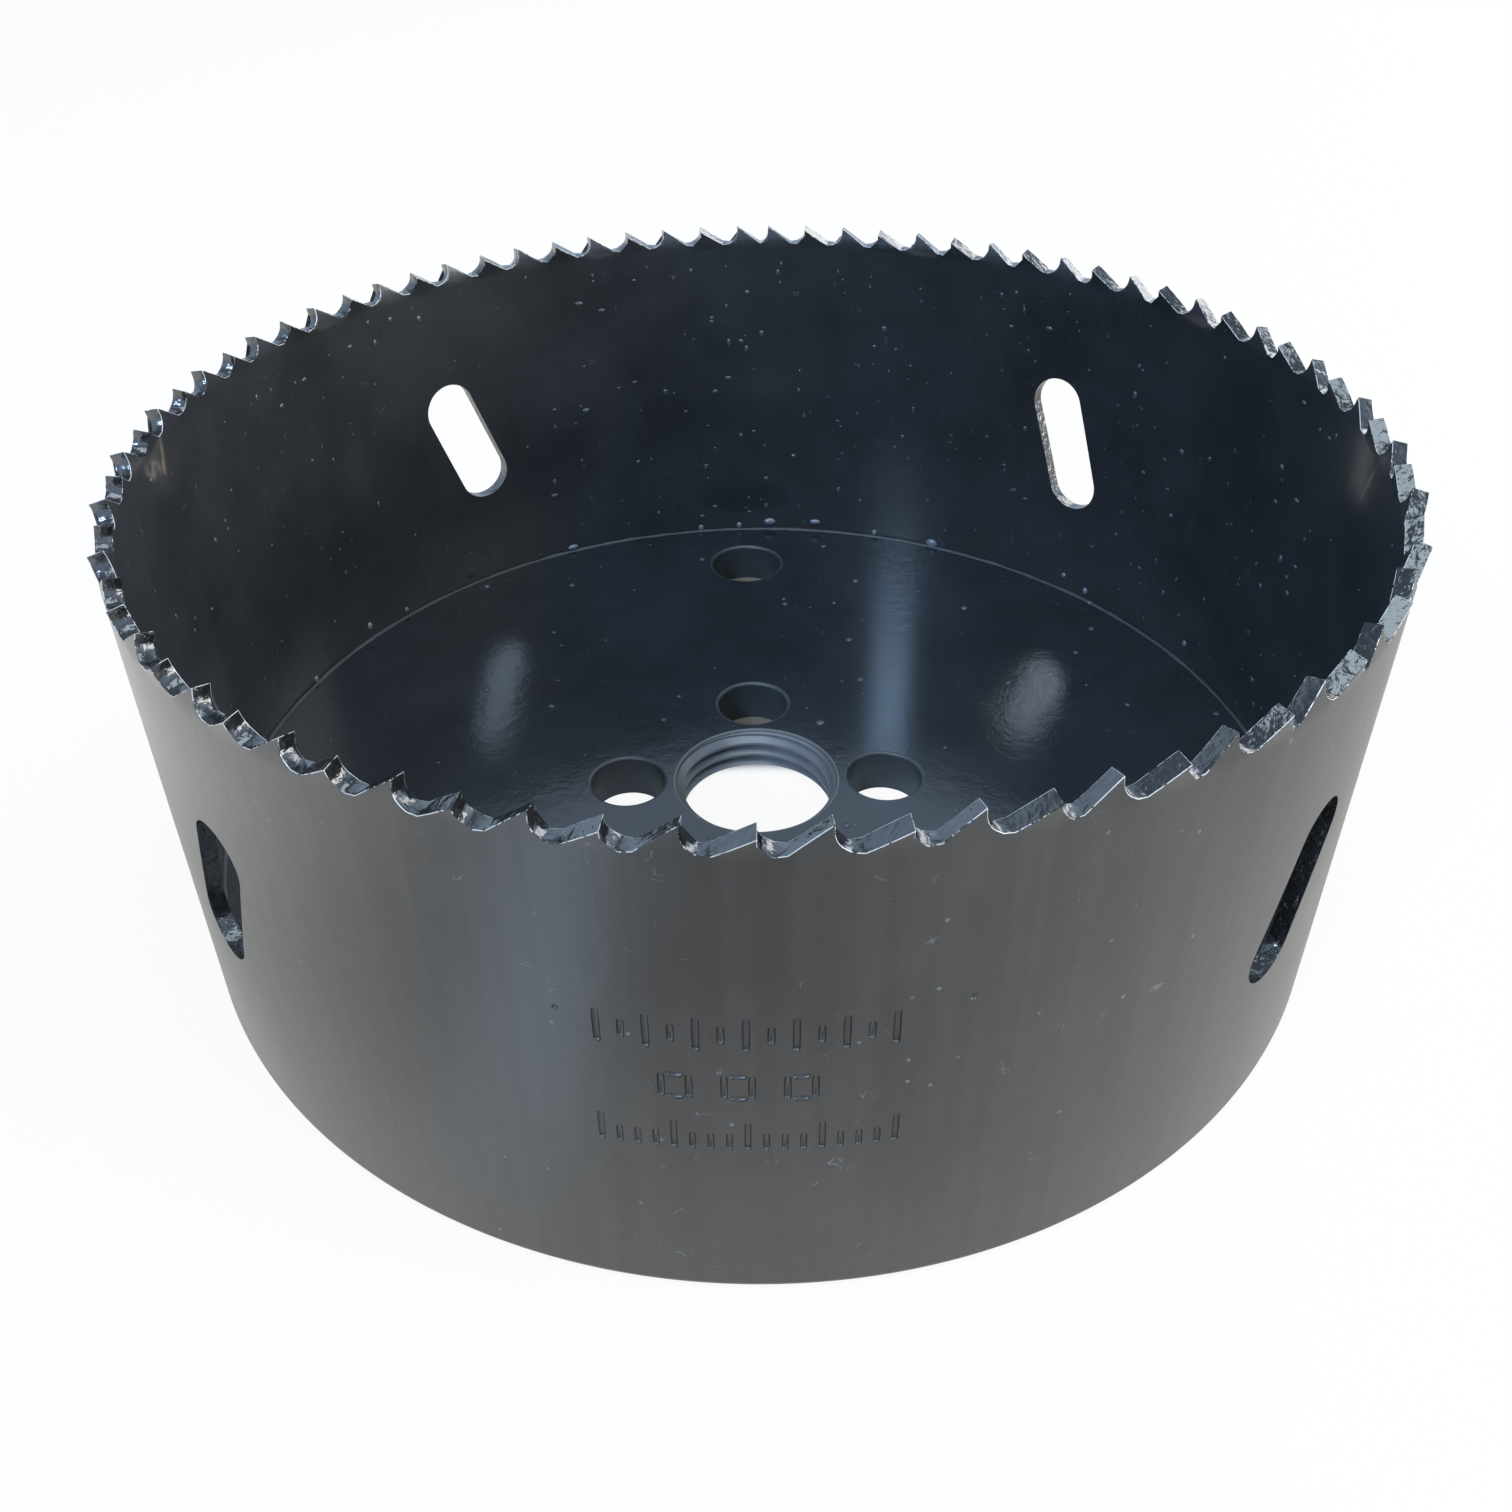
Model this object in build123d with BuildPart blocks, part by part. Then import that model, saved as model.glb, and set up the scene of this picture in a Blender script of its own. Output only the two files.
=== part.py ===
"""Hole saw: a toothed steel cup welded round a thick back plate.

The saw stands on its back plate with the teeth up.  The origin is on the arbor axis at the plate's
underside, +Z points along the axis towards the teeth, and -Y is the side that carries the size
marks.  Lengths are in millimetres, angles in degrees anticlockwise from +X seen from the teeth.
"""
import os
from math import atan, cos, degrees, radians, sin, tan

from build123d import *

# --- Cup -----------------------------------------------------------------------------------------
cutting_diameter = 105.0    # across the tips of the outward-set teeth
wall = 1.27                 # rolled strip
gullet_floor = 41.0         # floors of the gullets above the underside
foot_chamfer = 0.6          # outer corner at the closed end

# --- Teeth ---------------------------------------------------------------------------------------
tooth_count = 77
tooth_height = 1.8          # tip above the gullet floor
tooth_set = 0.4             # how far each tip leans out of the wall, alternately out and in
back_angle = 35.0           # slope of a tooth's back
gullet_radius = 1.3         # hollow at the foot of the cutting face
gullet_sweep = 74.0         # turn of that hollow, from the cutting face down to the gullet floor
first_tip_angle = 91.95     # tip of the tooth just anticlockwise of the strip's butt weld
weld_step = 3.85            # short step between the two teeth beside the butt weld

# --- Slots through the cup -----------------------------------------------------------------------
slot_length = 15.2
slot_width = 5.8
slot_lean = 20.0            # tops lean anticlockwise
slot_height = 22.5          # slot centre above the underside
slot_angles = (46.6, 130.0, 222.3, 317.0)

# --- Back plate ----------------------------------------------------------------------------------
plate_thickness = 4.5
plate_clearance = 0.05      # slip fit of the plate in the rolled cup before welding
thread_diameter = 15.875    # 5/8 in arbor thread, 18 to the inch
bore_chamfer = 0.25
pin_hole_diameter = 7.2
pin_hole_count = 4
pin_bridge = 1.1625         # metal between the bore and each drive-pin hole
pin_angle = 1.4             # first drive-pin hole
knockout_diameter = 8.2     # single hole near the wall
knockout_bridge = 4.58      # metal between that hole and the plate's edge
knockout_angle = 91.4
hole_edge = 0.3             # broken upper edge of the pin holes and the knock-out hole

# --- Weld ----------------------------------------------------------------------------------------
weld_leg = 0.6              # inside corner between plate and cup

# --- Worked out from the above -------------------------------------------------------------------
outer_radius = cutting_diameter / 2 - tooth_set
inner_radius = outer_radius - wall
middle_radius = outer_radius - wall / 2
plate_radius = inner_radius - plate_clearance
pin_circle = thread_diameter + 2 * pin_bridge + pin_hole_diameter
knockout_reach = plate_radius - knockout_bridge - knockout_diameter / 2
tooth_step = (360 - weld_step) / (tooth_count - 1)
set_angle = degrees(atan(tooth_set / tooth_height))
back_length = tooth_height / tan(radians(back_angle))
gullet_height = gullet_radius * sin(radians(gullet_sweep))
tool_reach = 2 * wall       # a cutting shape's reach from the middle of the wall, past its faces

os.makedirs("parts", exist_ok=True)


def set_tooth(side):
    """One tooth with its tip at angle 0 on the gullet floor's level, leaning out (1) or in (-1).

    The cutting face looks anticlockwise.  Below it the hollow curves down to the gullet floor, and
    the back falls away clockwise.
    """
    blank_height = tooth_height + wall
    blank_lean = side * tooth_set * blank_height / tooth_height
    blank_top = gullet_floor + blank_height
    heel = -(back_length + wall)
    profile_plane = Plane((middle_radius, 0, gullet_floor), x_dir=(0, 1, 0), z_dir=(1, 0, 0))
    foot = Vector(middle_radius, -back_length, gullet_floor)
    tip = Vector(middle_radius + side * tooth_set, 0, gullet_floor + tooth_height)
    across = Vector(cos(radians(set_angle)), 0, -side * sin(radians(set_angle)))
    back_plane = Plane(foot, z_dir=across.cross(tip - foot))

    with BuildPart() as tooth:
        with BuildSketch(Plane.XZ):
            with BuildLine():
                Polyline(
                    (inner_radius, gullet_floor),
                    (outer_radius, gullet_floor),
                    (outer_radius + blank_lean, blank_top),
                    (inner_radius + blank_lean, blank_top),
                    close=True,
                )
            make_face()
        revolve(axis=Axis.Z)
        with BuildSketch(profile_plane):
            with BuildLine():
                face = Line((0, blank_height), (0, gullet_height))
                hollow = CenterArc((gullet_radius, gullet_height), gullet_radius, 180, gullet_sweep)
                Polyline(hollow @ 1, (heel, 0), (heel, blank_height), face @ 0)
            make_face()
        extrude(amount=tool_reach, both=True, mode=Mode.INTERSECT)
        split(bisect_by=back_plane, keep=Keep.BOTTOM)
    return tooth.part


def turned(angles):
    """Places turned about the arbor axis."""
    return Locations(*[Location((0, 0, 0), (0, 0, angle)) for angle in angles])


# The teeth run anticlockwise from the butt weld, one step apart, and lean out and in by turns.
tip_angles = [first_tip_angle + number * tooth_step for number in range(tooth_count)]
outward_tooth = set_tooth(1)
inward_tooth = set_tooth(-1)

with BuildPart() as slot_tool:
    with BuildSketch(Plane.YZ.offset(middle_radius)):
        with Locations((0, slot_height)):
            SlotOverall(slot_length, slot_width, rotation=90 - slot_lean)
    extrude(amount=tool_reach, both=True)

# The cup: strip rolled into a ring, butt welded, slotted and toothed.
with BuildPart() as cup_wall:
    with BuildSketch(Plane.XZ) as band_section:
        with Locations((middle_radius, gullet_floor / 2)):
            Rectangle(wall, gullet_floor)
        outer_foot = band_section.vertices().group_by(Axis.Y)[0].sort_by(Axis.X)[-1]
        chamfer(outer_foot, foot_chamfer)
    revolve(axis=Axis.Z)
    with turned(slot_angles):
        add(slot_tool.part, mode=Mode.SUBTRACT)
    with turned(tip_angles[0::2]):
        add(outward_tooth)
    with turned(tip_angles[1::2]):
        add(inward_tooth)

# The back plate: a disc with the arbor's threaded hole, the drive-pin holes and one hole by the wall.
# The threaded hole is bored to the thread's outside diameter; the thread ridge stands inside it.
with BuildPart() as back_plate:
    with BuildSketch():
        Circle(plate_radius)
        with PolarLocations(pin_circle / 2, pin_hole_count, start_angle=pin_angle):
            Circle(pin_hole_diameter / 2, mode=Mode.SUBTRACT)
        with PolarLocations(knockout_reach, 1, start_angle=knockout_angle):
            Circle(knockout_diameter / 2, mode=Mode.SUBTRACT)
    extrude(amount=plate_thickness)
    upper_rims = back_plate.edges().filter_by(GeomType.CIRCLE).group_by(Axis.Z)[-1]
    chamfer(upper_rims.sort_by(SortBy.RADIUS)[:-1], hole_edge)
    with BuildSketch(Plane.XZ):
        with BuildLine():
            bore_radius = thread_diameter / 2
            mouth_radius = bore_radius + bore_chamfer
            Polyline(
                (0, 0),
                (mouth_radius, 0),
                (bore_radius, bore_chamfer),
                (bore_radius, plate_thickness - bore_chamfer),
                (mouth_radius, plate_thickness),
                (0, plate_thickness),
                close=True,
            )
        make_face()
    revolve(axis=Axis.Z, mode=Mode.SUBTRACT)

# The weld: a fillet all round the corner where the plate meets the cup.
with BuildPart() as weld_bead:
    with BuildSketch(Plane.XZ):
        with BuildLine():
            corner = (inner_radius, plate_thickness)
            on_plate = (inner_radius - weld_leg, plate_thickness)
            on_wall = (inner_radius, plate_thickness + weld_leg)
            Polyline(corner, on_plate, on_wall, close=True)
        make_face()
    revolve(axis=Axis.Z)

cup_wall.part.label = "cup_wall"
export_step(cup_wall.part, "parts/cup_wall.step")
back_plate.part.label = "back_plate"
export_step(back_plate.part, "parts/back_plate.step")
weld_bead.part.label = "weld_bead"
export_step(weld_bead.part, "parts/weld_bead.step")
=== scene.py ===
"""Looks of the hole saw: a toothed steel cup welded round a thick back plate."""
import random
from math import atan2, cos, degrees, hypot, pi, radians, sin, tan

import bmesh
import bpy
from mathutils import Matrix, Vector


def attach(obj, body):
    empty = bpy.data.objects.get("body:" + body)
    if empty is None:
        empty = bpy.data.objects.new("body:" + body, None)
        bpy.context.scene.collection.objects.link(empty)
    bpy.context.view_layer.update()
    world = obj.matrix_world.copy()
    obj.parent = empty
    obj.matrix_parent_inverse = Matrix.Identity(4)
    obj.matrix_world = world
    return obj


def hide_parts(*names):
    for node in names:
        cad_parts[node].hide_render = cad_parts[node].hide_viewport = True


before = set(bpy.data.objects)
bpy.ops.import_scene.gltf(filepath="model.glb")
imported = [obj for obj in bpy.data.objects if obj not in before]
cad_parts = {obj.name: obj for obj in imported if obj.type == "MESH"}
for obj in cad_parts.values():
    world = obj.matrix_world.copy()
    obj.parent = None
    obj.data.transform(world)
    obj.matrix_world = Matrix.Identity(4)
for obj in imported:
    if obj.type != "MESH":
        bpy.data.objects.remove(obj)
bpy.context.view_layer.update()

# --- Sizes, in metres ---------------------------------------------------------------------------
# Angles of slots and holes are degrees anticlockwise from +X seen from the teeth; all other angles
# are radians.
MM = 0.001
WALL = 1.27 * MM
CUP_OUTER = 52.1 * MM
CUP_INNER = CUP_OUTER - WALL
CUP_MIDDLE = CUP_OUTER - WALL / 2
GULLET_FLOOR = 41.0 * MM
BAND_FOOT = GULLET_FLOOR - 0.8 * MM
BAND_DROPS = (2.2, 8, 10, 10, 10)   # rings of the wall below the band, in millimetres
TOOTH_HEIGHT = 1.8 * MM
TOOTH_SET = 0.4 * MM
TOOTH_PAIRS = 38
BACK_ANGLE = radians(35)
GULLET_RADIUS = 1.3 * MM
GULLET_SWEEP = radians(74)
LAST_SWEEP = radians(66)    # the short gullet's, beside the butt weld
BACK_CUTS = (0.36, 0.7)     # where a tooth's back is cut across, as parts of its length
FIRST_TIP = radians(91.95)
WELD_STEP = radians(3.85)
TOOTH_STEP = (2 * pi - WELD_STEP) / (2 * TOOTH_PAIRS)
PITCH = TOOTH_STEP * CUP_MIDDLE
TOOTH_MARGIN = 0.11 * MM
TOOTH_WEAR = 0.045 * MM
FOOT_ROUND = 0.8 * MM
SLOT_LENGTH = 15.2 * MM
SLOT_WIDTH = 5.8 * MM
SLOT_LEAN = radians(20)
SLOT_HEIGHT = 22.5 * MM
SLOT_ANGLES = (46.6, 130.0, 222.3, 317.0)
PLATE_TOP = 4.5 * MM
PLATE_RADIUS = CUP_INNER - 0.05 * MM
BORE_RADIUS = 7.9375 * MM
BORE_MOUTH = 0.25 * MM
HOLE_EDGE = 0.36 * MM
PIN_RADIUS = 3.6 * MM
PIN_REACH = 12.7 * MM
PIN_ANGLES = (1.4, 91.4, 181.4, 271.4)
KNOCKOUT_RADIUS = 4.1 * MM
KNOCKOUT_REACH = 42.1 * MM
KNOCKOUT_ANGLE = 91.4
THREAD_PITCH = 25.4 / 18 * MM
THREAD_CREST = 7.28 * MM
BEAD_RADIUS = 0.27 * MM
BEAD_RIPPLE = 0.34 * MM
JOIN = 0.005 * MM           # points nearer than this are one point


# --- Bench tools --------------------------------------------------------------------------------
def take(piece):
    """Selects one piece alone and makes it active."""
    if bpy.context.object and bpy.context.object.mode != "OBJECT":
        bpy.ops.object.mode_set(mode="OBJECT")
    bpy.ops.object.select_all(action="DESELECT")
    piece.select_set(True)
    bpy.context.view_layer.objects.active = piece
    return piece


def named(name):
    """Names the piece that was just added, and leaves it alone in hand."""
    piece = take(bpy.context.object)
    piece.name = name
    piece.data.name = name
    return piece


def settle(piece):
    """Puts a piece's place, turn and scale into its mesh."""
    take(piece)
    bpy.ops.object.transform_apply(location=True, rotation=True, scale=True)
    return piece


def refine(piece, kind, **settings):
    """Adds a modifier with these settings and applies it."""
    take(piece)
    modifier = piece.modifiers.new(kind.title(), kind)
    for key, value in settings.items():
        setattr(modifier, key, value)
    bpy.ops.object.modifier_apply(modifier=modifier.name)
    return piece


def cut(piece, cutter, operation="DIFFERENCE"):
    """Cuts a piece with another, which is used up."""
    refine(piece, "BOOLEAN", operation=operation, solver="EXACT", object=cutter)
    bpy.data.objects.remove(cutter)


def pick(piece, part, test):
    """Opens a piece for editing with the verts, edges or faces that pass a test selected."""
    take(piece)
    kinds = ("verts", "edges", "faces")
    bpy.context.tool_settings.mesh_select_mode = [part == kind for kind in kinds]
    bpy.ops.object.mode_set(mode="EDIT")
    bpy.ops.mesh.select_all(action="DESELECT")
    mesh = bmesh.from_edit_mesh(piece.data)
    for item in getattr(mesh, part):
        if test(item):
            item.select_set(True)
    mesh.select_flush_mode()
    bmesh.update_edit_mesh(piece.data)


def move_picked(x=0.0, y=0.0, z=0.0):
    """Moves what is selected."""
    bpy.ops.transform.translate(value=(x, y, z))


def done(piece):
    """Ends the editing of a piece."""
    bpy.ops.object.mode_set(mode="OBJECT")
    return piece


def weld_points(piece):
    """Merges points that meet, and turns all faces outwards."""
    pick(piece, "verts", lambda vert: True)
    bpy.ops.mesh.remove_doubles(threshold=JOIN)
    bpy.ops.mesh.normals_make_consistent(inside=False)
    return done(piece)


def join(pieces):
    """Makes one piece of several."""
    take(pieces[0])
    for piece in pieces[1:]:
        piece.select_set(True)
    bpy.ops.object.join()
    return pieces[0]


def smooth(piece, angle):
    """Smooths the faces but not the edges sharper than this angle; large faces still look flat."""
    take(piece)
    bpy.ops.object.shade_smooth_by_angle(angle=radians(angle))
    return refine(piece, "WEIGHTED_NORMAL", keep_sharp=True)


def coat(piece, number, test):
    """Gives the faces that pass a test the material of this number."""
    pick(piece, "faces", test)
    piece.active_material_index = number
    bpy.ops.object.material_slot_assign()
    done(piece)


def reach(point):
    """How far a point lies from the arbor axis."""
    return hypot(point.x, point.y)


def fold(edge):
    """How sharply two faces meet at an edge, in degrees."""
    return degrees(edge.calc_face_angle(0.0))


def middle(edge):
    """The point halfway along an edge."""
    return (edge.verts[0].co + edge.verts[1].co) / 2


def finish_piece(piece, slot, *materials, node=None):
    """Gives a piece its materials and its body, and hides the CAD node that it stands for."""
    for number, material in enumerate(materials):
        if number < len(piece.data.materials):
            piece.data.materials[number] = material
        else:
            piece.data.materials.append(material)
    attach(piece, "root")
    if node:
        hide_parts(node)


# --- The cup ------------------------------------------------------------------------------------
def draw_gullet(name, width, sweep):
    """One gullet of the flat strip, from one tooth's tip to the next one's: a sheet in X and Z."""
    hollow_top = GULLET_FLOOR + GULLET_RADIUS * sin(GULLET_SWEEP)
    foot = width - TOOTH_HEIGHT / tan(BACK_ANGLE)
    arc_steps = 8
    line = []
    for number in range(arc_steps + 1):
        turn = sweep * number / arc_steps
        line.append((GULLET_RADIUS * (1 - cos(turn)), hollow_top - GULLET_RADIUS * sin(turn)))
    line[-1] = (line[-1][0], GULLET_FLOOR)
    low = line[-1][0]
    line += [
        (foot, GULLET_FLOOR), (width, GULLET_FLOOR + TOOTH_HEIGHT), (width, hollow_top),
        (width, BAND_FOOT), (0, BAND_FOOT),
    ]

    bpy.ops.mesh.primitive_plane_add(size=MM)
    sheet = named(name)
    bpy.ops.object.mode_set(mode="EDIT")
    bpy.context.tool_settings.mesh_select_mode = (True, False, False)
    bpy.ops.mesh.select_all(action="SELECT")
    bpy.ops.mesh.merge(type="CENTER")
    x, z = line[0]
    move_picked(x, 0, z)
    for next_x, next_z in line[1:] + line[:1]:
        step = (next_x - x, 0, next_z - z)
        bpy.ops.mesh.extrude_vertices_move(TRANSFORM_OT_translate={"value": step})
        x, z = next_x, next_z
    bpy.ops.mesh.select_all(action="SELECT")
    bpy.ops.mesh.remove_doubles(threshold=JOIN)
    bpy.ops.mesh.select_all(action="SELECT")
    bpy.ops.mesh.edge_face_add()
    # Cuts: one along the gullet floor, where the teeth bend over, and upright ones for the rolling.
    cuts = [((0, 0, GULLET_FLOOR), (0, 0, 1))]
    for across in [low, foot] + [foot + (width - foot) * part for part in BACK_CUTS]:
        cuts.append(((across, 0, 0), (1, 0, 0)))
    for place, direction in cuts:
        bpy.ops.mesh.select_all(action="SELECT")
        bpy.ops.mesh.bisect(plane_co=place, plane_no=direction, threshold=1e-7)
    return done(sheet)


def set_tooth(strip, tip, side):
    """Bends one tooth over, out of the cup (side 1) or into it (side -1); out is -Y."""
    low = tip - (PITCH - GULLET_RADIUS)
    high = tip + GULLET_RADIUS
    above = GULLET_FLOOR + 1e-6
    pick(strip, "verts", lambda vert: vert.co.z > above and low < vert.co.x < high)
    lean = atan2(TOOTH_SET, TOOTH_HEIGHT) * side
    pivot = (tip, 0, GULLET_FLOOR)
    bpy.ops.transform.rotate(value=-lean, orient_axis="X", center_override=pivot)
    # The raised corner of the leaning tip ends at the full tooth height.
    height = (TOOTH_HEIGHT - WALL / 2 * abs(sin(lean))) / (TOOTH_HEIGHT * cos(lean))
    bpy.ops.transform.resize(value=(1, 1, height), center_override=pivot)
    return done(strip)


def make_strip():
    """The toothed strip, laid flat, its teeth set, and then rolled into a ring."""
    cell = draw_gullet("cup", PITCH, GULLET_SWEEP)
    refine(
        cell, "ARRAY", count=2 * TOOTH_PAIRS, use_relative_offset=False,
        use_constant_offset=True, constant_offset_displace=(PITCH, 0, 0),
        use_merge_vertices=True, merge_threshold=JOIN,
    )
    last = draw_gullet("last_gullet", WELD_STEP * CUP_MIDDLE, LAST_SWEEP)
    pick(last, "verts", lambda vert: True)
    move_picked(x=2 * TOOTH_PAIRS * PITCH)
    done(last)
    strip = weld_points(join([cell, last]))
    chance = random.Random(5)
    whole = 2 * TOOTH_PAIRS * PITCH + WELD_STEP * CUP_MIDDLE
    for number in range(2 * TOOTH_PAIRS + 1):
        side = (1 if number % 2 == 0 else -1) * chance.uniform(0.82, 1.0)
        set_tooth(strip, number * PITCH, side)
        if number == 0:
            set_tooth(strip, whole, side)
    pick(strip, "verts", lambda vert: True)
    move_picked(x=(FIRST_TIP - radians(270)) * CUP_MIDDLE)
    done(strip)
    refine(strip, "SIMPLE_DEFORM", deform_method="BEND", deform_axis="Z", angle=2 * pi)
    pick(strip, "verts", lambda vert: True)
    move_picked(y=-CUP_MIDDLE)
    done(strip)
    weld_points(strip)
    # A margin along the teeth leaves room for their worn edges; the wall hangs from the band.
    pick(strip, "faces", lambda face: True)
    bpy.ops.mesh.inset(thickness=TOOTH_MARGIN, use_boundary=True, use_even_offset=True)
    done(strip)
    pick(strip, "verts", lambda vert: vert.co.z < BAND_FOOT + JOIN)
    for drop in BAND_DROPS:
        bpy.ops.mesh.extrude_edges_move(TRANSFORM_OT_translate={"value": (0, 0, -drop * MM)})
    done(strip)
    return weld_points(strip)


def slot_cutter(angle):
    """A leaning round-ended bar that goes through the wall."""
    centre = Vector((CUP_MIDDLE, 0, SLOT_HEIGHT))
    bpy.ops.mesh.primitive_cylinder_add(
        vertices=48, radius=SLOT_WIDTH / 2, depth=4 * WALL, location=centre, rotation=(0, pi / 2, 0)
    )
    bar = settle(named("slot_cutter"))
    along = Vector((0, sin(SLOT_LEAN), cos(SLOT_LEAN)))
    stretch = along * (SLOT_LENGTH - SLOT_WIDTH) / 2
    for side in (1, -1):
        pick(bar, "verts", lambda vert: side * (vert.co - centre).dot(along) > 1e-7)
        move_picked(*(side * stretch))
        done(bar)
    bar.rotation_euler = (0, 0, radians(angle))
    return settle(bar)


def groove_cutter(across, height, length, tilt=0.0, radius=0.26 * MM, depth=0.22 * MM):
    """A round-ended rod that cuts one stroke; across is measured along the wall from -Y."""
    bpy.ops.mesh.primitive_uv_sphere_add(segments=14, ring_count=8, radius=radius)
    rod = named("groove_cutter")
    for side in (1, -1):
        pick(rod, "verts", lambda vert: side * vert.co.z > JOIN)
        move_picked(z=side * length / 2)
        done(rod)
    out = CUP_OUTER + radius - depth
    turn = Matrix.Rotation(across / CUP_OUTER, 4, "Z")
    lean = Matrix.Rotation(tilt, 4, "Y")
    stand = turn @ Matrix.Translation((0, -out, height)) @ lean
    # Each rod is turned a little about itself, so that no two have faces in one plane.
    rod.matrix_world = stand @ Matrix.Rotation(0.11 + across, 4, "Z")
    return settle(rod)


def size_marks():
    """Three rows of plain stamped marks: tall and short strokes, small frames and fine ticks."""
    rods = []
    for number in range(13):
        length = 2.5 * MM if number % 2 == 0 else 1.1 * MM
        rods.append(groove_cutter((-9.9 + 1.53 * number) * MM, 26.63 * MM, length))
    for number in range(3):
        across = -5.2 + 3.95 * number
        for side in (-1, 1):
            rods.append(groove_cutter((across + 0.87 * side) * MM, 21.83 * MM, 1.7 * MM))
            level = (21.83 + 1.03 * side) * MM
            rods.append(groove_cutter((across + 0.01) * MM, level, 0.6 * MM, pi / 2))
    for number in range(17):
        length = 2.3 * MM if number % 4 == 0 else 1.2 * MM
        across = (-10.2 + 1.19 * number) * MM
        level = 15.93 * MM + length / 2
        rods.append(groove_cutter(across, level, length, 0, 0.24 * MM, 0.19 * MM))
    return rods


def make_cup():
    """The cup: strip given its thickness, edges worn and rounded, slots and marks cut."""
    cup = make_strip()
    for name in ("outside", "edges", "inside", "teeth"):
        cup.data.materials.append(bpy.data.materials.new(name))
    refine(
        cup, "SOLIDIFY", thickness=WALL, offset=0, use_even_offset=True, use_quality_normals=True
    )
    weld_points(cup)
    # Worn, slightly rounded edges of the teeth; their faces take the second material.
    teeth = GULLET_FLOOR - 0.05 * MM
    pick(cup, "edges", lambda edge: fold(edge) > 50 and middle(edge).z > teeth)
    bpy.ops.mesh.bevel(
        offset=TOOTH_WEAR, segments=2, affect="EDGES", material=1, clamp_overlap=True
    )
    done(cup)

    def is_foot(edge):
        """The outer corner at the closed end."""
        return fold(edge) > 45 and middle(edge).z < JOIN and reach(middle(edge)) > CUP_MIDDLE

    pick(cup, "edges", is_foot)
    bpy.ops.mesh.bevel(offset=FOOT_ROUND, segments=5, affect="EDGES", clamp_overlap=True)
    done(cup)
    cut(cup, join([slot_cutter(angle) for angle in SLOT_ANGLES]))
    marks = size_marks()
    # Two small pits beside the marks.
    for across, height in ((-12.43, 27.61), (13.17, 28.23)):
        pit = groove_cutter(across * MM, height * MM, 0.15 * MM, 0.6, 0.22 * MM, 0.14 * MM)
        marks.append(pit)
    cut(cup, join(marks))

    def is_cut_face(face):
        """Faces across the wall's thickness: the teeth's and the slots'."""
        place = face.calc_center_median()
        facing = abs(face.normal.x * place.x + face.normal.y * place.y) / reach(place)
        in_slot = place.z > 2 * MM and abs(reach(place) - CUP_MIDDLE) < 0.4 * MM
        return face.material_index == 0 and facing < 0.6 and (in_slot or place.z > teeth)

    def is_inside(face):
        """Faces of the cup's inner wall."""
        return face.material_index == 0 and reach(face.calc_center_median()) < CUP_INNER + 0.2 * MM

    coat(cup, 3, is_cut_face)
    coat(cup, 2, is_inside)
    return smooth(cup, 32)


# --- The back plate -----------------------------------------------------------------------------
def round_bar(name, radius, reach_out, angle, points, length=2 * PLATE_TOP):
    """An upright bar whose middle is the plate's; at its full length it bores a hole through."""
    place = (reach_out * cos(radians(angle)), reach_out * sin(radians(angle)), PLATE_TOP / 2)
    bpy.ops.mesh.primitive_cylinder_add(
        vertices=points, radius=radius, depth=length, location=place
    )
    return settle(named(name))


def make_plate():
    """The back plate: a disc with its bore and holes, their edges rounded."""
    plate = round_bar("plate", PLATE_RADIUS, 0, 0, 256, PLATE_TOP)
    for name in ("flat", "rims", "bore"):
        plate.data.materials.append(bpy.data.materials.new(name))
    cut(plate, round_bar("bore", BORE_RADIUS, 0, 0, 128))
    cut(plate, round_bar("knockout", KNOCKOUT_RADIUS, KNOCKOUT_REACH, KNOCKOUT_ANGLE, 72))
    for angle in PIN_ANGLES:
        cut(plate, round_bar("pin_hole", PIN_RADIUS, PIN_REACH, angle, 72))
    past_bore = BORE_RADIUS * 1.05
    short_of_edge = PLATE_RADIUS * 0.98

    def is_hole_edge(edge):
        """Upper edges of the plain holes."""
        on_top = middle(edge).z > PLATE_TOP - JOIN
        return fold(edge) > 60 and on_top and past_bore < reach(middle(edge)) < short_of_edge

    def is_hole_wall(face):
        """Upright faces of the holes."""
        return abs(face.normal.z) < 0.3 and reach(face.calc_center_median()) < short_of_edge

    def is_bore(face):
        """The bore's wall and its two mouths."""
        near = reach(face.calc_center_median()) < BORE_RADIUS + 1.3 * BORE_MOUTH
        return near and abs(face.normal.z) < 0.95

    pick(plate, "edges", is_hole_edge)
    bpy.ops.mesh.bevel(offset=HOLE_EDGE, segments=4, affect="EDGES", material=1)
    done(plate)
    pick(plate, "edges", lambda edge: fold(edge) > 60 and reach(middle(edge)) < past_bore)
    bpy.ops.mesh.bevel(offset=BORE_MOUTH, segments=2, affect="EDGES")
    done(plate)
    coat(plate, 1, is_hole_wall)
    coat(plate, 2, is_bore)
    return smooth(plate, 40)


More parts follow.
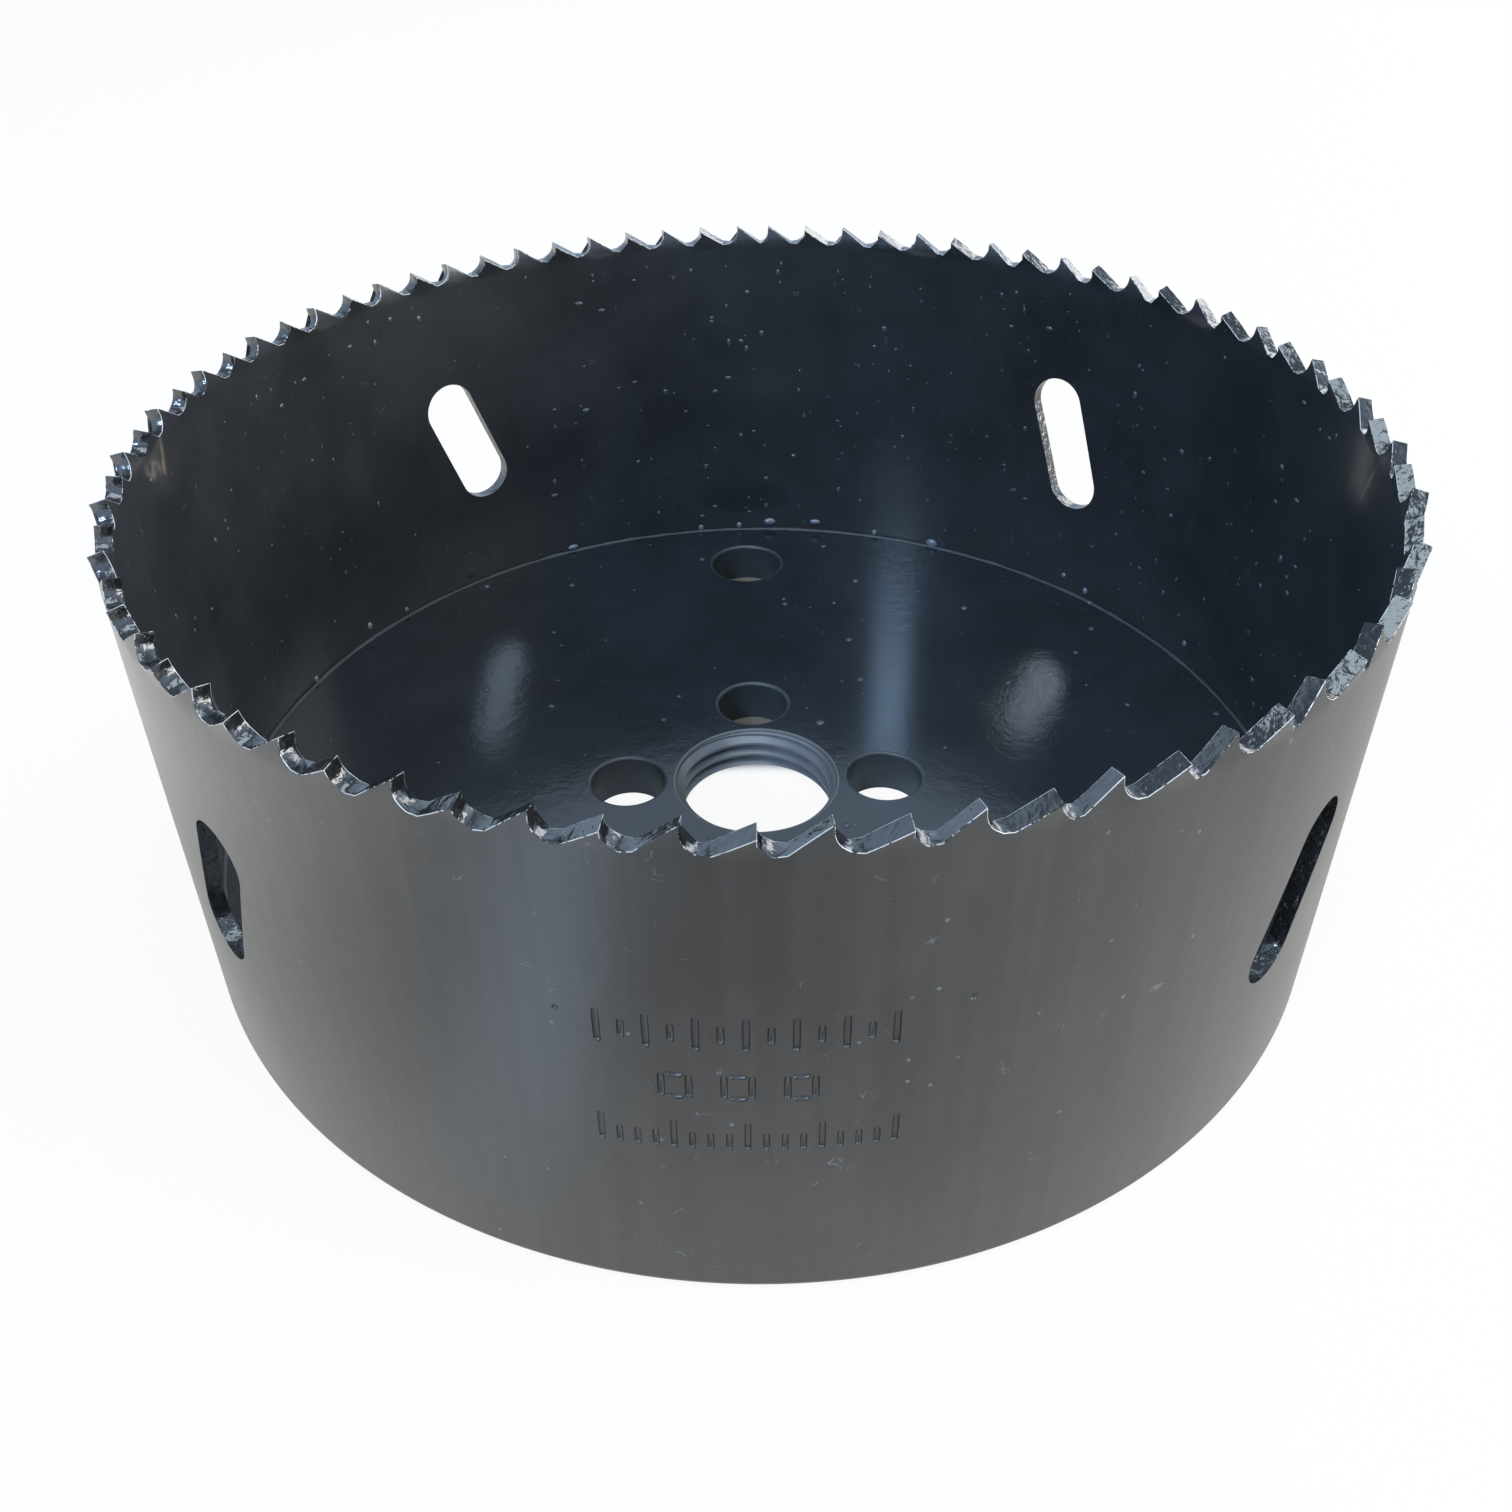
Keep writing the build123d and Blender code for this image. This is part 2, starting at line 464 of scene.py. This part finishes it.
def make_thread():
    """The arbor thread: a ridge that climbs round the bore and runs out short of its two mouths."""
    bpy.ops.mesh.primitive_plane_add(size=1.0, rotation=(pi / 2, 0, 0))
    ridge = named("arbor_thread")
    root = BORE_RADIUS + 0.05 * MM
    halfway = (root + THREAD_CREST) / 2
    ridge.scale = (root - THREAD_CREST, THREAD_PITCH * 0.88, 1)
    ridge.location = (halfway, 0, -THREAD_PITCH)
    settle(ridge)
    # The crest is a fifth as wide as the root.
    pick(ridge, "verts", lambda vert: vert.co.x < halfway)
    bpy.ops.transform.resize(value=(1, 1, 0.2), center_override=(0, 0, -THREAD_PITCH))
    bpy.ops.mesh.select_all(action="SELECT")
    bpy.ops.mesh.delete(type="ONLY_FACE")
    done(ridge)
    refine(
        ridge, "SCREW", axis="Z", angle=2 * pi, screw_offset=THREAD_PITCH, iterations=6,
        steps=96, render_steps=96, use_smooth_shade=False,
    )
    pick(ridge, "edges", lambda edge: edge.is_boundary)
    bpy.ops.mesh.edge_face_add()
    done(ridge)
    pick(ridge, "edges", lambda edge: edge.is_boundary and middle(edge).z > PLATE_TOP / 2)
    bpy.ops.mesh.edge_face_add()
    done(ridge)
    weld_points(ridge)
    # What is kept of the ridge: a round bar the plate's height, hollowed like a dish at both ends.
    spool = round_bar("spool", BORE_RADIUS + 0.4 * MM, 0, 0, 96, PLATE_TOP)
    for level, sink in ((PLATE_TOP, -0.9 * MM), (0, 0.5 * MM)):
        pick(spool, "faces", lambda face: abs(face.calc_center_median().z - level) < JOIN)
        bpy.ops.mesh.inset(thickness=1.15 * MM)
        move_picked(z=sink)
        done(spool)
    cut(ridge, spool, "INTERSECT")
    return smooth(ridge, 40)


def make_weld():
    """The bead in the corner between plate and cup."""
    bpy.ops.mesh.primitive_torus_add(
        major_radius=CUP_INNER - 0.12 * MM, minor_radius=BEAD_RADIUS,
        major_segments=480, minor_segments=12, location=(0, 0, PLATE_TOP - 0.1 * MM),
    )
    bead = settle(named("weld"))
    ripple = bpy.data.textures.new("weld_ripple", "CLOUDS")
    ripple.noise_scale = 0.9 * MM
    refine(
        bead, "DISPLACE", texture=ripple, texture_coords="LOCAL", direction="NORMAL",
        strength=BEAD_RIPPLE, mid_level=0.5,
    )
    return smooth(bead, 60)


def dome(name, radius, flat, place, out, long=1.0):
    """A drop on a surface, its height (flat) and its stretch (long) given as parts of its size."""
    bpy.ops.mesh.primitive_ico_sphere_add(subdivisions=2, radius=radius)
    bead = named(name)
    turn = out.to_track_quat("Z", "Y").to_matrix().to_4x4()
    shape = Matrix.Diagonal((1 / long, long, flat, 1))
    bead.matrix_world = Matrix.Translation(place) @ turn @ shape
    return bead


def on_wall(angle, height):
    """A place on the cup's inner wall, and the direction that looks away from it."""
    turn = radians(angle)
    radial = Vector((cos(turn), sin(turn), 0))
    return radial * CUP_INNER + Vector((0, 0, height)), -radial


def on_plate(angle, reach_out):
    """A place on the plate's upper face, and the direction that looks away from it."""
    turn = radians(angle)
    return Vector((reach_out * cos(turn), reach_out * sin(turn), PLATE_TOP)), Vector((0, 0, 1))


def make_spatter():
    """Drops of weld metal along the bead, each at an angle and height and with a radius."""
    drops = []
    for angle, height, radius in (
        (87.8, 5.5, 0.6), (81.3, 5.7, 0.5), (64.3, 4.9, 0.7), (97.7, 4.9, 0.42),
        (92.2, 5.0, 0.4), (72.7, 5.0, 0.38), (149.4, 6.1, 0.42), (143.0, 5.3, 0.34),
        (160.4, 4.9, 0.4), (116.5, 5.0, 0.5), (40.6, 5.6, 0.4), (44.2, 6.4, 0.3),
        (23.2, 6.8, 0.36), (205.0, 5.2, 0.4), (250.0, 5.3, 0.45), (291.0, 5.2, 0.4),
        (334.0, 5.4, 0.45),
    ):
        place, out = on_wall(angle, height * MM)
        drops.append(dome("spatter", radius * MM, 0.55, place, out, 0.7 + radius % 0.5))
    return smooth(settle(join(drops)), 80)


def make_paint_drops():
    """Drops and specks dried into the paint inside the cup and on the plate."""
    chance = random.Random(7)
    slot_middle = SLOT_HEIGHT / MM
    slot_lean = 0.4             # degrees round the cup for each millimetre up
    drops = []
    for number in range(330):
        angle = chance.uniform(0, 360) if number % 3 else chance.uniform(5, 115)
        height = chance.uniform(6.5, 39.5)
        radius = 0.12 + 0.26 * chance.random() ** 2
        above = height - slot_middle
        near_slot = any(
            abs((angle - slot + 180) % 360 - 180 - above * slot_lean) < 5 and abs(above) < 9
            for slot in SLOT_ANGLES
        )
        place, out = on_wall(angle, height * MM)
        flat = chance.uniform(0.3, 0.5)
        if not near_slot:
            long = chance.uniform(0.7, 1.5)
            drops.append(dome("paint_drops", radius * MM, flat, place, out, long))
    holes = [(PIN_REACH, angle, PIN_RADIUS) for angle in PIN_ANGLES]
    holes.append((KNOCKOUT_REACH, KNOCKOUT_ANGLE, KNOCKOUT_RADIUS))
    for number in range(90):
        angle = chance.uniform(0, 360)
        distance = chance.uniform(9.5, 49.5)
        radius = 0.14 + 0.3 * chance.random() ** 2
        place, out = on_plate(angle, distance * MM)
        clear = all(
            (place - on_plate(hole_angle, hole_reach)[0]).length > size + 1.2 * MM
            for hole_reach, hole_angle, size in holes
        )
        if clear:
            drops.append(dome("paint_drops", radius * MM, 0.4, place, out))
    return smooth(settle(join(drops)), 80)


# --- Finishes -----------------------------------------------------------------------------------
class Value:
    """A number that changes over a surface, and takes part in sums as a plain number does."""

    def __init__(self, nodes, socket):
        self.nodes = nodes
        self.socket = socket

    def sum(self, operation, *terms):
        """One step of a sum, as a node."""
        return self.nodes.node("ShaderNodeMath", {"operation": operation}, *terms)

    def __add__(self, other):
        return self.sum("ADD", self, other)

    def __radd__(self, other):
        return self.sum("ADD", other, self)

    def __sub__(self, other):
        return self.sum("SUBTRACT", self, other)

    def __rsub__(self, other):
        return self.sum("SUBTRACT", other, self)

    def __mul__(self, other):
        return self.sum("MULTIPLY", self, other)

    def __rmul__(self, other):
        return self.sum("MULTIPLY", other, self)


class Nodes:
    """The nodes of a material or of the sky."""

    def __init__(self, tree):
        self.tree = tree

    def join(self, socket, value):
        """Gives a socket a number, a colour or another node's output."""
        if isinstance(value, Value):
            value = value.socket
        if isinstance(value, bpy.types.NodeSocket):
            self.tree.links.new(value, socket)
        else:
            socket.default_value = value

    def node(self, kind, settings, *values, out=0, **named_values):
        """Adds a node: settings first, then values or links by order or by socket name."""
        node = self.tree.nodes.new(kind)
        for key, value in settings.items():
            setattr(node, key, value)
        for socket, value in zip(node.inputs, values):
            self.join(socket, value)
        for key, value in named_values.items():
            self.join(node.inputs[key.replace("_", " ")], value)
        return Value(self, node.outputs[out])

    def mask(self, value, low, high):
        """0 below low and 1 above high, with a soft step between."""
        return self.node(
            "ShaderNodeMapRange", {"interpolation_type": "SMOOTHSTEP", "clamp": True},
            Value=value, From_Min=low, From_Max=high, To_Min=0.0, To_Max=1.0,
        )

    def mix(self, amount, first, second):
        """First colour where amount is 0, second where it is 1."""
        node = self.tree.nodes.new("ShaderNodeMix")
        node.data_type = "RGBA"
        # A colour mix has its colours at sockets 6 and 7 and its result at 2.
        for index, value in ((0, amount), (6, first), (7, second)):
            self.join(node.inputs[index], value)
        return Value(self, node.outputs[2])

    def blend(self, amount, first, second):
        """First shader where amount is 0, second where it is 1."""
        return self.node("ShaderNodeMixShader", {}, amount, first, second)

    def noise(self, place, scale, detail, **named_values):
        """Cloudy noise over a place; a larger scale makes it finer."""
        return self.node(
            "ShaderNodeTexNoise", {}, Vector=place, Scale=scale, Detail=detail, **named_values
        )

    def rays(self, kind):
        """1 for light rays of this kind and 0 for all others."""
        return self.node("ShaderNodeLightPath", {}, out=f"Is {kind} Ray")


class Finish(Nodes):
    """A material and its nodes."""

    def __init__(self, name):
        self.material = bpy.data.materials.new(name)
        self.material.use_nodes = True
        super().__init__(self.material.node_tree)
        self.surface = self.tree.nodes["Principled BSDF"]

    def set(self, **values):
        """Sets sockets of the surface itself."""
        for key, value in values.items():
            self.join(self.surface.inputs[key.replace("_", " ")], value)


def grey(level, tint=(1, 1, 1)):
    """A colour: a grey of this level, tinted."""
    return tuple(level * part for part in tint) + (1,)


def paint(
    name, level, tint, rough, peel,
    lumps=0.0, dust=0.5, streaks=0.0, shine=1.62, varnish=0.0, rubs=(),
):
    """Stoved black paint: orange peel, slow changes of tone, dust, lint and places rubbed pale."""
    finish = Finish(name)
    place = finish.node("ShaderNodeTexCoord", {}, out="Object")
    grain = finish.noise(place, 2600.0, 3.0, Roughness=0.6)
    peeled = finish.noise(place, 700.0, 2.0)
    cloud = finish.noise(place, 90.0, 4.0, Roughness=0.6)
    lump = finish.noise(place, 1300.0, 2.0, Distortion=0.4)
    # Dust: a small spot in each of a few cells.
    cells = {"voronoi_dimensions": "3D", "feature": "F1"}
    size = 640.0
    spot = finish.node("ShaderNodeTexVoronoi", cells, Vector=place, Scale=size, out="Distance")
    lot = finish.node("ShaderNodeTexVoronoi", cells, Vector=place, Scale=size, out="Color")
    chance = finish.node("ShaderNodeSeparateColor", {}, Color=lot, out="Red")
    specks = (1 - finish.mask(spot, 0.04, 0.13)) * finish.mask(chance, 0.86, 0.9)
    # Lint: short pieces of the lines along which a noise crosses its middle.
    curl = finish.noise(place, 900.0, 0.0, Distortion=0.6)
    gate = finish.noise(place, 610.0, 0.0)
    line = finish.node("ShaderNodeMath", {"operation": "ABSOLUTE"}, curl - 0.5)
    lint = (1 - finish.mask(line, 0.006, 0.016)) * finish.mask(gate, 0.745, 0.775)
    marks = (specks + 0.7 * lint) * dust
    # Rubs: ovals with a centre, a tilt about X and a size, where the paint is scuffed pale brown.
    rubbed = 0.0
    for centre, tilt, size in rubs:
        near = finish.node(
            "ShaderNodeMapping", {"vector_type": "TEXTURE"},
            Vector=place, Location=centre, Rotation=(tilt, 0, 0), Scale=size,
        )
        away = finish.node("ShaderNodeVectorMath", {"operation": "LENGTH"}, near, out="Value")
        rubbed = rubbed + (1 - finish.mask(away, 0.3, 1.0)) * finish.mask(peeled, 0.3, 0.62)
    # Streaks: noise drawn out along Z.
    drawn_out = finish.node(
        "ShaderNodeMapping", {"vector_type": "POINT"}, Vector=place, Scale=(1, 1, 0.05)
    )
    streak = finish.noise(drawn_out, 800.0, 2.0)
    tone = finish.mix(
        finish.mask(cloud + (streak - 0.5) * streaks, 0.3, 0.7),
        grey(0.75 * level, tint), grey(1.3 * level, tint),
    )
    tone = finish.mix(rubbed, tone, grey(0.17, (1.0, 0.88, 0.76)))
    finish.set(
        Base_Color=finish.mix(marks, tone, grey(0.28)),
        Roughness=rough + 0.1 * (cloud - 0.5) + 0.2 * marks,
        IOR=shine,
        Coat_Weight=varnish,
        Coat_Roughness=0.16,
        Normal=finish.node(
            "ShaderNodeBump", {},
            Strength=peel, Distance=0.06 * MM, Height=0.5 * grain + peeled + lumps * lump,
        ),
    )
    return finish.material


def worn_edge(name, coverage):
    """Paint broken to bare bright steel along an edge."""
    finish = Finish(name)
    place = finish.node("ShaderNodeTexCoord", {}, out="Object")
    patch = finish.noise(place, 2200.0, 3.0, Roughness=0.7)
    large = finish.noise(place, 260.0, 1.0)
    bare = finish.mask(0.55 * patch + 0.45 * large, 1 - coverage, 1.05 - coverage)
    finish.set(
        Base_Color=finish.mix(bare, grey(0.014), grey(0.62)),
        Metallic=bare * 0.6,
        Roughness=0.25 + 0.25 * bare,
    )
    return finish.material


INSIDE_RUBS = (
    ((-CUP_INNER, 1.2 * MM, 39.0 * MM), -0.28, (2 * MM, 0.45 * MM, 2.9 * MM)),
    ((-CUP_INNER, -1.1 * MM, 39.2 * MM), -0.43, (2 * MM, 2.5 * MM, 1.1 * MM)),
    ((CUP_INNER, -3.6 * MM, 38.4 * MM), 0.38, (2 * MM, 0.34 * MM, 3.3 * MM)),
)
cup_paint = paint("cup_paint", 0.018, (1, 1.02, 1.02), 0.34, 0.34, streaks=0.8, shine=1.67)
inside_paint = paint(
    "inside_paint", 0.026, (0.9, 1.0, 1.15), 0.42, 0.35, shine=1.38, varnish=0.9, rubs=INSIDE_RUBS
)
plate_paint = paint("plate_paint", 0.017, (0.8, 1.0, 1.3), 0.17, 0.35, dust=0.2)
# Hole paint, lighter than the plate's: a painted highlight on the rounded hole edges and walls.
rim_paint_with_painted_highlight = paint("rim_paint_with_painted_highlight", 0.045, (0.85, 1.0, 1.15), 0.45, 0.5, lumps=1.0, dust=0.0)
# Bore and thread paint, far lighter than the plate's: a painted highlight on the thread ridges.
bore_paint_with_painted_highlight = paint("bore_paint_with_painted_highlight", 0.15, (0.95, 1.0, 1.08), 0.34, 0.4, lumps=0.6, dust=0.0)
weld_paint = paint("weld_paint", 0.05, (0.92, 1.0, 1.1), 0.6, 0.6, lumps=1.0, dust=1.0)
# Light bluish grey for the weld spatter: a painted highlight on the drops.
spatter_with_painted_highlight = paint(
    "spatter_with_painted_highlight", 0.2, (0.84, 0.95, 1.12), 0.2, 0.3, lumps=0.8, dust=0.0
)
# Lighter and bluer than the paint the drops lie on: a painted highlight on the paint drops.
drop_paint_with_painted_highlight = paint("drop_paint_with_painted_highlight", 0.08, (0.85, 1.0, 1.2), 0.2, 0.3, dust=0.0)
tooth_paint = paint(
    "tooth_paint", 0.014, (0.9, 0.97, 1.1), 0.16, 1.0, lumps=1.8, dust=0.3, shine=1.85
)
tooth_edge = worn_edge("tooth_edge", 0.55)

finish_piece(
    make_cup(), "cup_paint", cup_paint, tooth_edge, inside_paint, tooth_paint, node="cup_wall"
)
finish_piece(
    make_plate(), "plate_paint", plate_paint, rim_paint_with_painted_highlight, bore_paint_with_painted_highlight, node="back_plate"
)
finish_piece(make_weld(), "weld_paint", weld_paint, node="weld_bead")
finish_piece(make_thread(), "plate_paint", bore_paint_with_painted_highlight)
finish_piece(make_spatter(), "weld_paint", spatter_with_painted_highlight)
finish_piece(make_paint_drops(), "plate_paint", drop_paint_with_painted_highlight)


# --- Floor, light and camera --------------------------------------------------------------------
bpy.ops.mesh.primitive_plane_add(size=6.0, location=(0, 0, 0))
floor = named("floor")
ground = Finish("pale_floor")
ground.set(Roughness=0.8, Specular_IOR_Level=0.0)
place = ground.node("ShaderNodeTexCoord", {}, out="Object")
east = ground.node("ShaderNodeSeparateXYZ", {}, Vector=place, out="X")
north = ground.node("ShaderNodeSeparateXYZ", {}, Vector=place, out="Y")
apart = ground.node("ShaderNodeVectorMath", {"operation": "LENGTH"}, place, out="Value")
bearing = degrees(1.0) * ground.node(
    "ShaderNodeMath", {"operation": "ARCTAN2"}, east, 0 - north
)


def glow(strength, colour):
    """Floor that shines by itself."""
    return ground.node("ShaderNodeEmission", {}, Color=colour, Strength=strength)


# Seen only in the paint's reflections, the floor glows as a painted reflection: dim ahead, lighter
# to the right and close by, brightest to the left, where a glowing bluish streak paints a window.
right_side = ground.mask(east, -0.005, 0.045)
close_by = 1 - ground.mask(apart, 0.056, 0.085)
right_or_close = ground.node("ShaderNodeMath", {"operation": "MAXIMUM"}, right_side, close_by)
left_side = (1 - ground.mask(east, -0.085, -0.04)) * ground.mask(apart, 0.058, 0.085)
across_painted_window_streak = (1 - ground.mask(bearing, -19.5, -15.5)) * ground.mask(bearing, -38.0, -22.0)
painted_window_streak = across_painted_window_streak * ground.mask(apart, 0.05, 0.085)
# shine is the floor's painted reflection, seen only by rays bounced off the paint.
shine = ground.blend(right_or_close, glow(0.62, (1, 0.99, 0.97, 1)), glow(0.97, (1, 1, 0.98, 1)))
shine = ground.blend(left_side, shine, glow(1.45, (1, 1, 0.98, 1)))
shine = ground.blend(painted_window_streak, shine, glow(2.05, (0.69, 0.82, 1, 1)))
# Painted shadow: beneath the far half of the saw the floor is coloured dark brown, and it doesn't
# glow for the camera there.
painted_shadow = ground.mask(north, 0.006, 0.009) * (1 - ground.mask(apart, 0.049, 0.051))
ground.set(Base_Color=ground.mix(painted_shadow, grey(0.9), (0.2, 0.17, 0.14, 1)))
open_floor = ground.mask(apart, 0.047, 0.051)
mirror_rays = ground.rays("Glossy") + ground.rays("Transmission")
lit = ground.blend(mirror_rays * open_floor, ground.surface.outputs[0], shine)
# Seen directly, the floor is nearly as white as the background, except on the painted shadow.
lit = ground.blend(ground.rays("Camera") * (0.9 - 0.9 * painted_shadow), lit, glow(1.0, (1, 1, 1, 1)))
ground.join(ground.tree.nodes["Material Output"].inputs["Surface"], lit)
ground.material.cycles.emission_sampling = "NONE"
floor.data.materials.append(ground.material)

world = bpy.data.worlds.new("studio")
bpy.context.scene.world = world
world.use_nodes = True
world.cycles.sampling_method = "NONE"
sky = Nodes(world.node_tree)
soft = sky.tree.nodes["Background"]
sky.join(soft.inputs["Color"], (0.95, 0.97, 1.0, 1))
sky.join(soft.inputs["Strength"], 0.22)
# In reflections the sky is bright up to a good way above the horizon and dim overhead.
aim = sky.node("ShaderNodeTexCoord", {}, out="Generated")
height = sky.node("ShaderNodeSeparateXYZ", {}, Vector=aim, out="Z")
fade = sky.node(
    "ShaderNodeMapRange", {}, Value=height, From_Min=0.68, From_Max=0.84, To_Min=1.5, To_Max=0.48
)
mirrored = sky.node("ShaderNodeBackground", {}, Color=(0.6, 0.77, 1.0, 1), Strength=fade)
white = sky.node("ShaderNodeBackground", {}, Color=(1, 1, 1, 1), Strength=1.0)
mirror_rays = sky.rays("Glossy") + sky.rays("Transmission")
backdrop = sky.blend(mirror_rays, soft.outputs[0], mirrored)
backdrop = sky.blend(sky.rays("Camera"), backdrop, white)
sky.join(sky.tree.nodes["World Output"].inputs["Surface"], backdrop)


def soft_light(name, azimuth, elevation, distance, width, height, radiance, colour):
    """A soft panel that faces the saw from an azimuth (0 is the camera's side) and an elevation."""
    turn = radians(azimuth)
    rise = radians(elevation)
    place = Vector((sin(turn) * cos(rise), -cos(turn) * cos(rise), sin(rise))) * distance
    bpy.ops.object.light_add(type="AREA", location=place)
    lamp = bpy.context.object
    lamp.name = name
    lamp.data.shape = "RECTANGLE"
    lamp.data.size = width
    lamp.data.size_y = height
    lamp.data.energy = radiance * width * height * pi
    lamp.data.color = colour
    lamp.rotation_euler = place.to_track_quat("Z", "Y").to_euler()


soft_light("overhead_panel", 25, 78, 1.0, 0.62, 0.5, 4.4, (0.74, 0.89, 1.0))
soft_light("window_panel", -36, 39, 1.2, 0.15, 0.17, 95.0, (0.45, 0.68, 1.0))
soft_light("far_panel", 140, 28, 1.2, 0.8, 0.5, 4.0, (1.0, 0.97, 0.92))
soft_light("side_panel", 75, 17, 1.2, 1.0, 0.5, 7.2, (1.0, 0.96, 0.9))

bpy.ops.object.camera_add(location=(0, -0.109449, 0.092767))
camera = bpy.context.object
camera.name = "camera"
pitch, yaw, roll = 0.6226, -0.018, -0.017
forward = Vector((sin(yaw), cos(yaw), 0))
right = Vector((cos(yaw), -sin(yaw), 0))
up = Vector((0, 0, 1))
ahead = forward * cos(pitch) - up * sin(pitch)
above = up * cos(pitch) + forward * sin(pitch)
across = right * cos(roll) + above * sin(roll)
upright = above * cos(roll) - right * sin(roll)
camera.rotation_euler = Matrix((across, upright, -ahead)).transposed().to_euler()
# The lens, from the width of the view, the focal length and the place of the optical axis in it.
SENSOR = 36.0
VIEW = 1512
FOCAL = 1418.763
AXIS_ACROSS, AXIS_DOWN = 735.03, 698.55
camera.data.sensor_width = SENSOR
camera.data.lens = SENSOR * FOCAL / VIEW
camera.data.shift_x = (VIEW / 2 - AXIS_ACROSS) / VIEW
camera.data.shift_y = (AXIS_DOWN - VIEW / 2) / VIEW
camera.data.clip_start = 1 * MM
bpy.context.scene.camera = camera
bpy.context.scene.view_settings.view_transform = "Standard"
